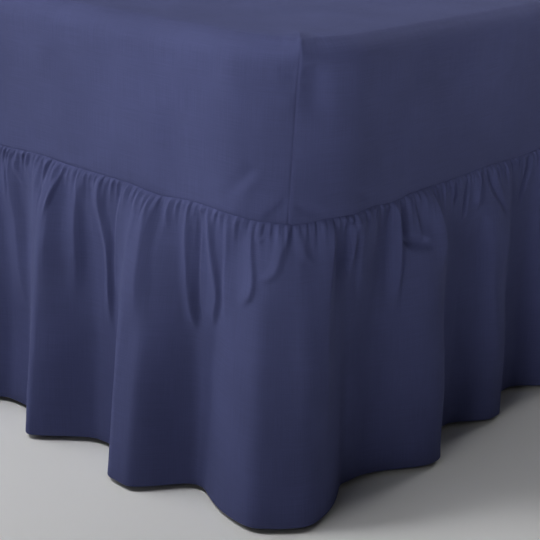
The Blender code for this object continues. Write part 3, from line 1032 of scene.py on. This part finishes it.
def sheetPiece():
    places = sheetColumns()
    rows = sheetRows()
    inset, depth = rows[:, 0][:, None], rows[:, 1][:, None]
    along = np.broadcast_to(places, (len(rows), len(places)))
    point, way = outline(along)
    longer = (deckHeight - seamHeight(along)) / wallDepth - 1
    onWall = eased((depth - sheet["edge"]) / (wallDepth - sheet["edge"]))
    sunk = depth * np.where(depth > sheet["edge"], 1 + longer * onWall, 1.0)
    (farInset, nearInset), (lowEar, highEar) = sheet["earInset"], sheet["earDepth"]
    lift = sheet["earRise"] * cornerPoint(along, sheet["earReach"])
    lift = lift * eased((farInset - inset) / (farInset - nearInset))
    lift = lift * eased((lowEar - depth) / (lowEar - highEar))
    height = deckHeight - sunk + lift
    edge = point + way * (sheetOut(along, inset, depth) - inset)[..., None]
    wall = np.concatenate([edge, height[..., None]], -1)
    deck = sheetDeck(wall[0])
    points = np.concatenate([deck, wall], 0)
    over = points[..., 2] > deckHeight - sheet["sagReach"]
    least = np.maximum(points[..., 2], deckHeight - sheet["mostSag"])
    points[..., 2] = np.where(over, least, points[..., 2])

    # flat cloth: the deck as it lies, each wall folded out from it
    girth = depth[:, 0] - np.where(depth[:, 0] == 0, inset[:, 0] - sheet["edge"], 0.0)
    girths = np.concatenate([np.full(len(deck), -1.0), girth])
    waysOut = np.array([[1, 0], [0, 1], [-1, 0], [0, -1]], float)

    def flatAt(row, column, middle):
        near = np.interp(middle, np.arange(len(places)), places)
        down = girths[row]
        walls = np.zeros((len(near), 2))
        for k, way in enumerate(waysOut):
            half = (straights[k] + cornerArc) / 2
            onSide = apart(near, cornerPlaces[k] + half) ** 2 < half ** 2
            ahead = apart(places[column], cornerPlaces[k] + cornerArc / 2)[:, None]
            spot = cornerCentres[k] + way * (bed["corner"] + down[:, None])
            spot = spot + np.array([-way[1], way[0]]) * ahead
            walls = np.where(onSide[:, None], spot, walls)
        first, last = sheetMesh["foldOut"]
        share = eased((down - first) / (last - first))[:, None]
        return between((points[row, column, :2], walls), share)

    piece = layCloth("fitted_sheet_cloth", points, flatAt, shut=True)
    piece.data.materials.append(sheetCloth)
    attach(piece, "root")
    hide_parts("fitted_sheet")


sheetPiece()
print("fitted sheet made")


# Mattress and divan base keep their solids

plain = {
    "tones": (0.86, 1.08),
    "stripeEdge": (0.80, 0.95),
    "stripeTones": (1.0, 0.75),
    "relief": 0.6,
}


def speckled(name, colour, roughness, scale, depth, stripe=0.0):
    material, tree, _ = newMaterial(name, roughness)
    place = node(tree, "ShaderNodeTexCoord").outputs["Object"]
    grain = noise(tree, place, scale, 3.0)
    tone = spanned(tree, grain, (0.0, 1.0), plain["tones"])
    if stripe:
        bands = node(tree, "ShaderNodeTexWave", Scale=stripe, bands_direction="DIAGONAL")
        tree.links.new(place, bands.inputs["Vector"])
        band = spanned(tree, bands.outputs["Fac"], plain["stripeEdge"], plain["stripeTones"])
        tone = sums(tree, "MULTIPLY", tone, band)
    finish(tree, colour, tone, grain, plain["relief"], depth)
    return material


finishes = {
    "mattress": speckled("ticking", (0.80, 0.79, 0.76), 0.85, 900.0, 0.0002, stripe=9.0),
    "divan_base": speckled("base_cover", (0.42, 0.41, 0.40), 0.90, 600.0, 0.0004),
}
for name, material in finishes.items():
    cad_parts[name].material_slots[0].material = material
print("mattress and base finished")


# Floor and light

room = {
    "floor": (0.76, 0.76, 0.76, 1.0),
    "floorRoughness": 0.9,
    "floorSize": 80.0,
    "glow": 0.9,  # of the floor far from the bed, where no lamp reaches
    "glowFrom": 2.5,  # metres from the middle of the bed
    "glowFull": 4.6,
    "white": (1.0, 1.0, 1.0, 1.0),
    "skyStrength": 0.05,
    "skySeen": 0.94,  # the sky as it is seen, which lights nothing
    "lampsFar": 3.0,  # from what they aim at
}
# Lamps that light the bed: each stands to the left of the foot end by its turn and up by its
# tilt, in degrees, and has a size, a power, a spread and a point that it aims at
lights = {
    "window": (52, 54, 1.2, 2.0, 24, (0.00, -1.00, 0.95)),
    "low_window": (70, 20, 1.4, 4.0, 60, (0.15, -1.00, 0.60)),
    "front": (-8, 20, 1.2, 2.0, 24, (0.50, -0.75, 0.95)),
    "right": (-75, 30, 0.8, 0.25, 16, (0.50, -0.40, 0.86)),
    "back": (180, 35, 1.4, 4.2, 60, (0.20, -0.40, 0.65)),
}
# Lamps that point down at the floor around the bed, which throws their light back. Those on the
# +X side are weaker, as the bed shades that floor. Height, size, power, spread and places.
floorLights = {
    "left_floor": (2.8, 3.0, 50.0, 75, ((-1.2, -3.2), (-3.0, -0.9), (-3.0, 1.8))),
    "front_floor": (2.5, 1.6, 17.0, 50, ((1.6, -2.8),)),
    "right_floor": (2.5, 1.6, 12.0, 50, ((2.4, -0.6), (2.4, 1.6))),
    "back_floor": (2.8, 3.0, 60.0, 75, ((-1.2, 3.6), (1.2, 3.6))),
}


def makeFloor():
    form = bmesh.new()
    bmesh.ops.create_grid(form, x_segments=1, y_segments=1, size=room["floorSize"] / 2)
    mesh = bpy.data.meshes.new("floor")
    form.to_mesh(mesh)
    form.free()
    floor = bpy.data.objects.new("floor", mesh)
    bpy.context.scene.collection.objects.link(floor)
    material, tree, shader = newMaterial("floor", room["floorRoughness"])
    shader.inputs["Base Color"].default_value = room["floor"]
    shader.inputs["Emission Color"].default_value = room["white"]
    place = node(tree, "ShaderNodeTexCoord")
    away = node(tree, "ShaderNodeVectorMath", operation="LENGTH")
    glow = node(tree, "ShaderNodeMapRange", interpolation_type="SMOOTHSTEP")
    for name, key in (("From Min", "glowFrom"), ("From Max", "glowFull"), ("To Max", "glow")):
        glow.inputs[name].default_value = room[key]
    tree.links.new(place.outputs["Object"], away.inputs[0])
    tree.links.new(away.outputs["Value"], glow.inputs["Value"])
    tree.links.new(glow.outputs["Result"], shader.inputs["Emission Strength"])
    mesh.materials.append(material)


def makeLamp(name, place, way, size, power, spreadOut):
    lamp = bpy.data.lights.new(name, "AREA")
    lamp.shape = "SQUARE"
    lamp.size = size
    lamp.energy = power
    lamp.spread = math.radians(spreadOut)
    item = bpy.data.objects.new(name, lamp)
    item.matrix_world = (
        Matrix.Translation(place) @ way.to_track_quat("Z", "Y").to_matrix().to_4x4()
    )
    bpy.context.scene.collection.objects.link(item)


def makeLights():
    for name, (turn, tilt, size, power, spreadOut, aim) in lights.items():
        turn, tilt = math.radians(turn), math.radians(tilt)
        way = Vector((-math.sin(turn), -math.cos(turn), math.tan(tilt))).normalized()
        makeLamp(name, Vector(aim) + way * room["lampsFar"], way, size, power, spreadOut)
    for name, (height, size, power, spreadOut, places) in floorLights.items():
        for number, (x, y) in enumerate(places):
            makeLamp("%s_%d" % (name, number), Vector((x, y, height)), Vector((0, 0, 1)), size,
                     power, spreadOut)


def makeSky():
    world = bpy.data.worlds.new("sky")
    world.use_nodes = True
    tree = world.node_tree
    light = tree.nodes["Background"]
    light.inputs["Color"].default_value = room["white"]
    light.inputs["Strength"].default_value = room["skyStrength"]
    seen = node(tree, "ShaderNodeBackground", Color=room["white"], Strength=room["skySeen"])
    path = node(tree, "ShaderNodeLightPath")
    mix = node(tree, "ShaderNodeMixShader")
    feeds = (path.outputs["Is Camera Ray"], light.outputs[0], seen.outputs[0])
    for spot, feed in zip(mix.inputs, feeds):
        tree.links.new(feed, spot)
    tree.links.new(mix.outputs[0], tree.nodes["World Output"].inputs["Surface"])
    bpy.context.scene.world = world


makeFloor()
makeLights()
makeSky()
bpy.context.scene.view_settings.view_transform = "Standard"
print("floor and light made")
